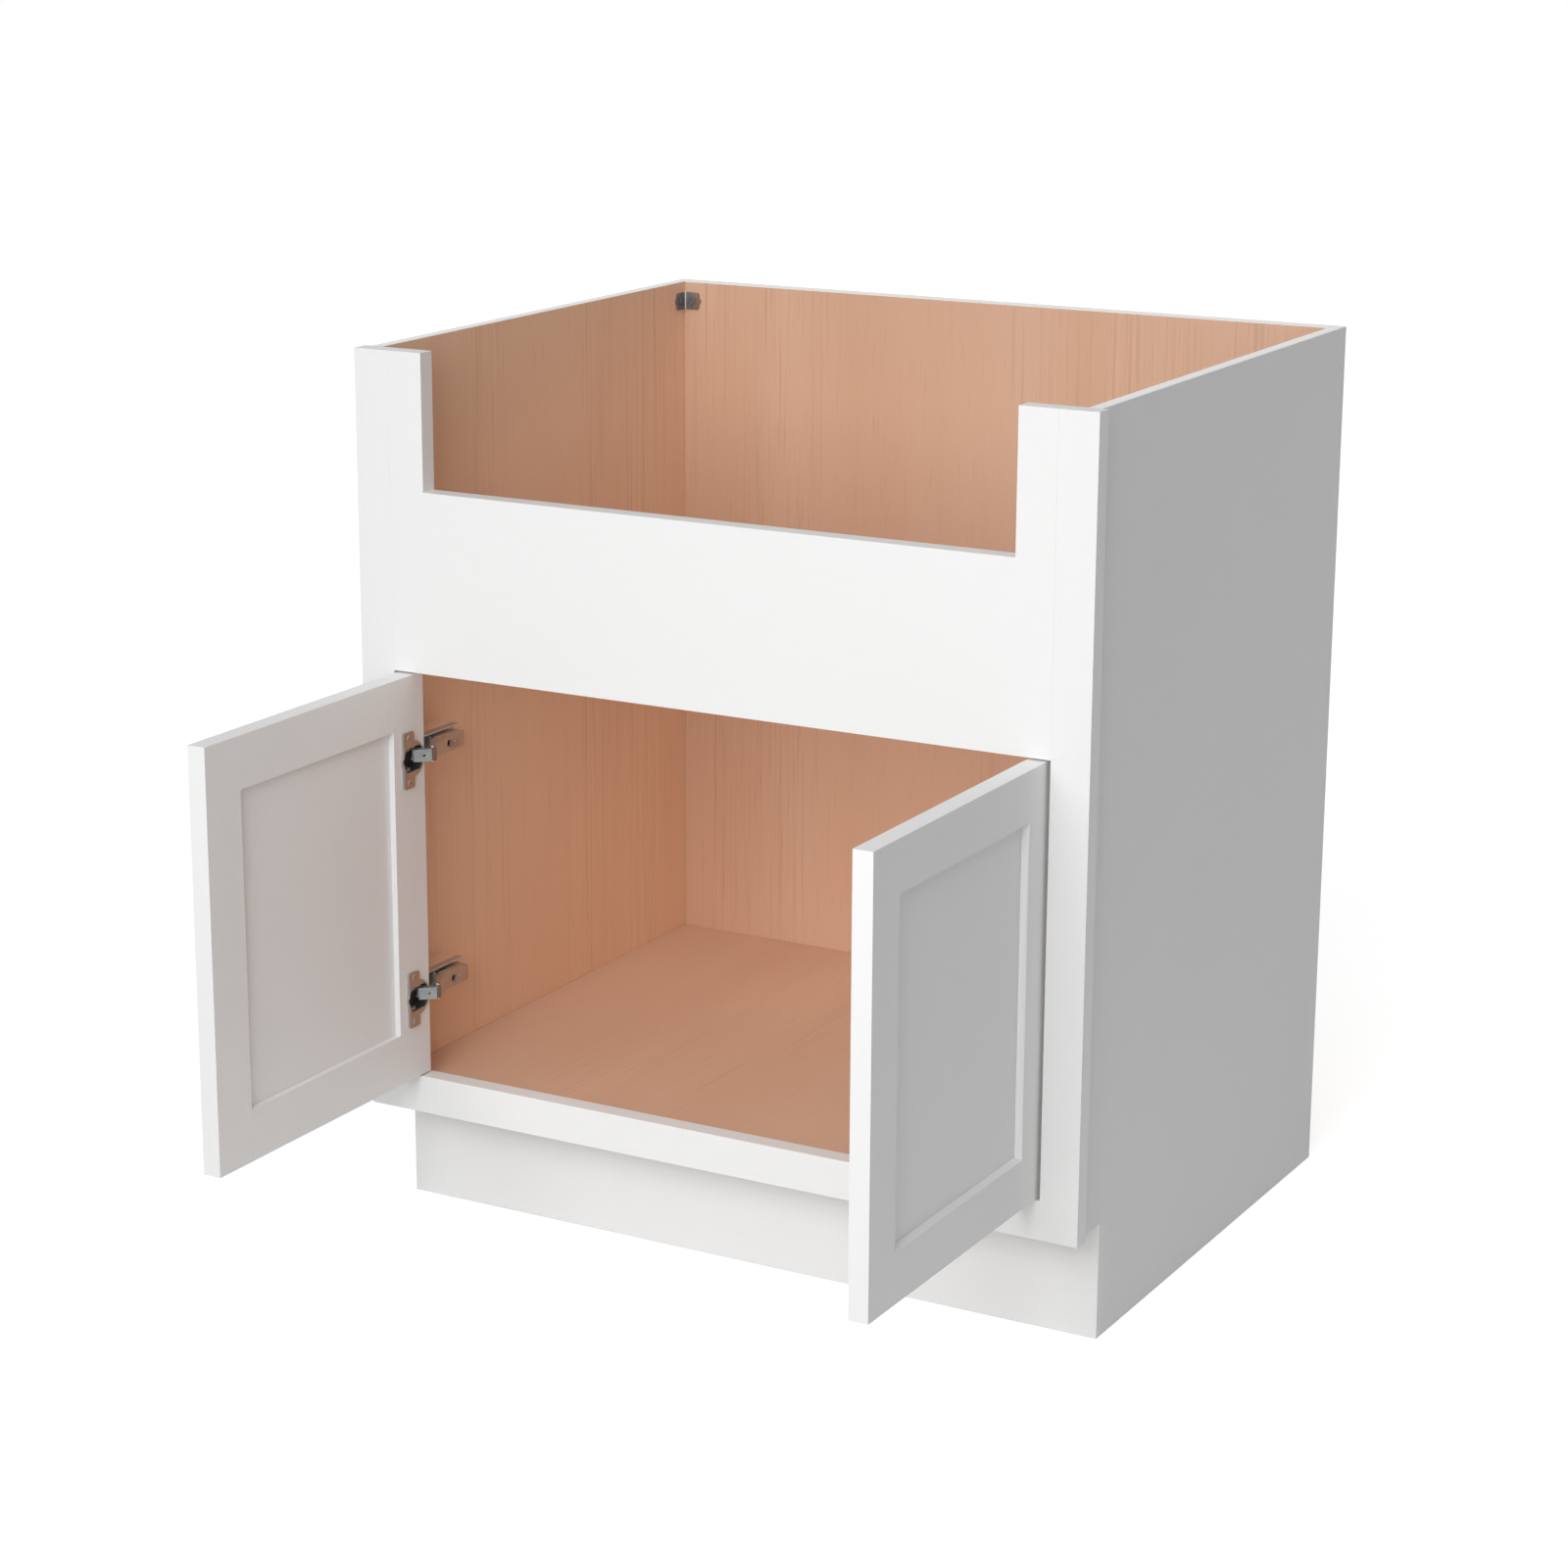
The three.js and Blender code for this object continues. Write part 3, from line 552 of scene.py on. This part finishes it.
def screw_shape(tree, sizes):
    def moved(shape, height, turn=0.0):
        lift = tree.nodes.new("ShaderNodeCombineXYZ")
        feed(tree, height, lift.inputs["Z"])
        node = tree.nodes.new("GeometryNodeTransform")
        node.inputs["Rotation"].default_value = (0, 0, turn)
        feed(tree, shape, node.inputs["Geometry"])
        feed(tree, lift.outputs[0], node.inputs["Translation"])
        return node.outputs[0]

    def taper(wide, narrow, depth, low):
        cone = tree.nodes.new("GeometryNodeMeshCone")
        cone.inputs["Vertices"].default_value = head_sides
        feed(tree, wide, cone.inputs["Radius Bottom"])
        feed(tree, narrow, cone.inputs["Radius Top"])
        feed(tree, depth, cone.inputs["Depth"])
        return moved(cone.outputs["Mesh"], low)

    def of_radius(share):
        return calculate(tree, "MULTIPLY", sizes["Head Radius"], share)

    def of_height(share):
        return calculate(tree, "MULTIPLY", sizes["Head Height"], share)

    def arm_of_recess(turn):
        size = tree.nodes.new("ShaderNodeCombineXYZ")
        feed(tree, of_radius(recess_length), size.inputs["X"])
        feed(tree, sizes["Recess Width"], size.inputs["Y"])
        feed(tree, of_height(recess_height), size.inputs["Z"])
        cube = tree.nodes.new("GeometryNodeMeshCube")
        feed(tree, size.outputs[0], cube.inputs["Size"])
        return moved(cube.outputs["Mesh"], sizes["Head Height"], turn)

    shank_low = calculate(tree, "MULTIPLY", sizes["Shank Length"], shank_reach)
    whole = tree.nodes.new("GeometryNodeMeshBoolean")
    whole.operation = "UNION"
    skirt = taper(sizes["Head Radius"], of_radius(skirt_top), of_height(skirt_height), 0.0)
    crown_ends = of_radius(crown_foot), of_radius(crown_top)
    crown = taper(*crown_ends, of_height(crown_height), of_height(crown_low))
    shank_radius = of_radius(shank_width)
    shank = taper(shank_radius, shank_radius, sizes["Shank Length"], shank_low)
    for part in (skirt, crown, shank):
        feed(tree, part, whole.inputs["Mesh 2"])
    recessed = tree.nodes.new("GeometryNodeMeshBoolean")
    recessed.operation = "DIFFERENCE"
    feed(tree, whole.outputs["Mesh"], recessed.inputs["Mesh 1"])
    for turn in (0, quarter_turn):
        feed(tree, arm_of_recess(turn), recessed.inputs["Mesh 2"])
    return recessed.outputs["Mesh"]


def inward_rotation(tree, seed):
    place = tree.nodes.new("GeometryNodeInputPosition")
    split = tree.nodes.new("ShaderNodeSeparateXYZ")
    feed(tree, place.outputs[0], split.inputs[0])
    inwards = tree.nodes.new("ShaderNodeCombineXYZ")
    side = calculate(tree, "SIGN", split.outputs["X"])
    feed(tree, calculate(tree, "MULTIPLY", side, -1.0), inwards.inputs["X"])
    upright = tree.nodes.new("FunctionNodeAlignRotationToVector")
    feed(tree, inwards.outputs[0], upright.inputs["Vector"])
    chance = tree.nodes.new("FunctionNodeRandomValue")
    chance.inputs["Seed"].default_value = seed
    chance.inputs[3].default_value = quarter_turn
    spin = tree.nodes.new("FunctionNodeAxisAngleToRotation")
    feed(tree, chance.outputs[1], spin.inputs["Angle"])
    turned = tree.nodes.new("FunctionNodeRotateRotation")
    turned.rotation_space = "LOCAL"
    feed(tree, upright.outputs[0], turned.inputs[0])
    feed(tree, spin.outputs[0], turned.inputs[1])
    return turned.outputs[0]


def hinge_screw_tree(finish):
    tree = bpy.data.node_groups.new("hinge_screws", "GeometryNodeTree")
    tree.is_modifier = True
    tree.interface.new_socket("Geometry", in_out="INPUT", socket_type="NodeSocketGeometry")
    for name in wing_screw_sizes:
        tree.interface.new_socket(name, in_out="INPUT", socket_type="NodeSocketFloat")
    tree.interface.new_socket("Geometry", in_out="OUTPUT", socket_type="NodeSocketGeometry")
    sizes = tree.nodes.new("NodeGroupInput").outputs
    copies = tree.nodes.new("GeometryNodeInstanceOnPoints")
    feed(tree, sizes["Geometry"], copies.inputs["Points"])
    feed(tree, screw_shape(tree, sizes), copies.inputs["Instance"])
    feed(tree, inward_rotation(tree, spin_seed), copies.inputs["Rotation"])
    real = tree.nodes.new("GeometryNodeRealizeInstances")
    feed(tree, copies.outputs["Instances"], real.inputs["Geometry"])
    coat = tree.nodes.new("GeometryNodeSetMaterial")
    coat.inputs["Material"].default_value = finish
    feed(tree, real.outputs["Geometry"], coat.inputs["Geometry"])
    end = tree.nodes.new("NodeGroupOutput")
    feed(tree, coat.outputs["Geometry"], end.inputs[0])
    return tree


screw_nickel = plated_steel("screw_nickel", (0.5, 0.485, 0.47), rough=0.32)
hinge_screws = hinge_screw_tree(screw_nickel)


def drive_screws(name, body, places, sizes):
    spots = bpy.data.meshes.new(name)
    spots.from_pydata(places, [], [])
    piece = bpy.data.objects.new(name, spots)
    bpy.context.scene.collection.objects.link(piece)
    maker = piece.modifiers.new("screws", "NODES")
    maker.node_group = hinge_screws
    for socket in hinge_screws.interface.items_tree:
        if socket.name in sizes:
            maker[socket.identifier] = sizes[socket.name]
    made = piece.evaluated_get(bpy.context.evaluated_depsgraph_get())
    solid = bpy.data.meshes.new_from_object(made)
    piece.modifiers.remove(maker)
    piece.data = solid
    bpy.data.meshes.remove(spots)
    solid.name = name
    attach(piece, body)


for side, sign in (("left", -1), ("right", 1)):
    wing_holes = [
        (sign * wing_face, wing_line, height + half * wing_screw_spacing)
        for height in hinge_heights.values()
        for half in (-0.5, 0.5)
    ]
    drive_screws(f"{side}_cup_wing_screws", f"{side}_door", wing_holes, wing_screw_sizes)
plate_holes = [
    (sign * plate_floor, plate_tail, height) for sign in (-1, 1) for height in hinge_heights.values()
]
drive_screws("mounting_plate_screws", "carcass", plate_holes, plate_screw_sizes)


# Corner brackets: small angles of zinc-plated steel, gone dull and dark, at the top of the back
# corners, each held by a pan-head screw in either panel. The fold is painted bright as a
# highlight, and the end on the back panel is tinted brown.
bend_side, bend_back = 0.36485, 0.0225
brown_tint_full_within, brown_tint_gone_beyond = 0.3525, 0.3585
zinc_grey = (0.18, 0.18, 0.18)
grimy_tone = 0.85
# Light grey painted on the fold as a highlight.
painted_fold_highlight = (0.66, 0.65, 0.64)
# Brown tint multiplied onto the far end of the back leg.
brown_end_tint = (1.35, 1.0, 0.74)
dull_cloud_scale, dull_cloud_detail = 260, 3
dull_roughness = ((0.3, grey(0.45)), (0.7, grey(0.6)))
dull_metal = 0.3
pressed_edge, screw_edge = 0.0003, 0.0002


def dull_zinc(name):
    material, tree, shader = blank_material(name)
    clouds = noise(tree, even, dull_cloud_scale, dull_cloud_detail)
    grimy_grey = tuple(grimy_tone * c for c in zinc_grey)
    grime = ramp(tree, clouds, (0.3, grimy_grey), (0.7, zinc_grey))
    # Mask of the fold, where the light grey of a painted highlight goes.
    near_back = calculate(tree, "SUBTRACT", 1.0, beyond(tree, "Y", bend_back))
    on_fold = calculate(tree, "MULTIPLY", beyond(tree, "X", bend_side), near_back)
    # The back leg is tinted brown at its far end, fading out towards the fold.
    reach = tree.nodes.new("ShaderNodeMapRange")
    feed(tree, brown_tint_full_within, reach.inputs["From Min"])
    feed(tree, brown_tint_gone_beyond, reach.inputs["From Max"])
    feed(tree, distance_out(tree, "X"), reach.inputs["Value"])
    browning = ramp(tree, reach.outputs["Result"], (0.0, brown_end_tint), (1.0, white))
    colour = blended(tree, 1.0, blended(tree, on_fold, grime, painted_fold_highlight), browning, "MULTIPLY")
    feed(tree, colour, shader.inputs["Base Color"])
    feed(tree, ramp(tree, clouds, *dull_roughness), shader.inputs["Roughness"])
    feed(tree, dull_metal, shader.inputs["Metallic"])
    bump(tree, shader, clouds, brushed_relief, brushed_relief_depth)
    return material


bracket_zinc = dull_zinc("bracket_zinc")
bracket_screw = plated_steel("bracket_screw", (0.19, 0.185, 0.18), rough=0.5, metal=0.4)
for side in ("left", "right"):
    finish_metal(f"{side}_bracket", bracket_zinc, pressed_edge)
    finish_metal(f"{side}_bracket_back_screw", bracket_screw, screw_edge)
    finish_metal(f"{side}_bracket_side_screw", bracket_screw, screw_edge)
